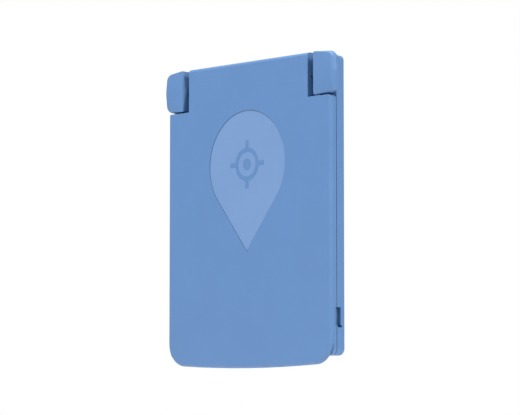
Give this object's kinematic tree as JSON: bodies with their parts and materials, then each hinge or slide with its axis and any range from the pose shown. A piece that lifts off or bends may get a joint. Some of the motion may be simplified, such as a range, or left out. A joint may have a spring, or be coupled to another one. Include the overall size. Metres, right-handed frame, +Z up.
{
  "type": "bluetooth tracker tag",
  "caption": "Flat upright bluetooth tracker tag whose front cover hinges open on two ears, with a map-pin call button and a coin cell behind a twist door.",
  "frame": {"origin": "on the flat rear face, in the middle of its width and level with the middle of the cover's height", "axes": "+Z up towards the hinge, +Y out of the rear face, +X to the right as seen from the front; the cover faces -Y"},
  "size_m": [0.0734, 0.0063, 0.092],
  "materials": {
    "housing_plastic": "fine spark-eroded moulding texture",
    "cover_plastic": "fine spark-eroded moulding texture",
    "button_plastic": "smooth satin",
    "deck_plastic": "satin",
    "door_plastic": "satin",
    "rubber": "matte",
    "steel": "brushed",
    "cell_steel": "turned nickel-plated steel",
    "magnet": "bright nickel plate",
    "brass": "rolled spring strip",
    "board": "solder mask over glass laminate",
    "chip_black": "moulded epoxy",
    "ceramic": "unglazed",
    "led": "clear epoxy over a phosphor",
    "clear_plastic": "polished",
    "label": "blank coated paper"
  },
  "bodies": {
    "housing": {"rear_shell": "housing_plastic", "hinge_pin_left": "steel", "hinge_pin_right": "steel", "deck_plate": "deck_plastic", "deck_seal": "rubber", "deck_screws": "steel", "main_board": "board", "radio_chip": "chip_black", "radio_shield": "steel", "chip_antenna": "ceramic", "crystal": "steel", "motion_sensor": "chip_black", "board_passives": "ceramic", "tact_switch": "steel", "status_led": "led", "light_pipe": "clear_plastic", "coin_cell": "cell_steel", "cell_contact_negative": "brass", "cell_contact_positive": "brass", "buzzer_plate": "brass", "buzzer_ceramic": "ceramic", "buzzer_contacts": "brass", "catch_plates": "steel", "rear_label": "label", "door_seal": "rubber"},
    "cover": {"front_cover": "cover_plastic", "cover_magnets": "magnet", "cover_bumpers": "rubber", "button_retainer": "steel"},
    "button": {"pin_button": "button_plastic", "pin_emblem": "cover_plastic"},
    "plunger": {"switch_plunger": "rubber"},
    "door": {"battery_door": "door_plastic"}
  },
  "joints": [
    {"name": "cover_hinge", "type": "hinge", "parent": "housing", "child": "cover", "pos_m": [0, -0.0034, 0.039], "axis": [-1, 0, 0], "range_deg": [0, 110]},
    {"name": "call_button", "type": "slide", "parent": "cover", "child": "button", "axis": [0, 1, 0], "range_m": [0, 0.0003], "stiffness_N_per_m": 300},
    {"name": "plunger_press", "type": "slide", "parent": "housing", "child": "plunger", "axis": [0, 1, 0], "range_m": [0, 0.0003]},
    {"name": "battery_door_turn", "type": "hinge", "parent": "housing", "child": "door", "pos_m": [0, -0.0041, -0.0268], "axis": [0, 1, 0], "range_deg": [0, 40]}
  ],
  "couplings": [
    {"joint": "plunger_press", "follows": "call_button", "ratio": 1}
  ]
}
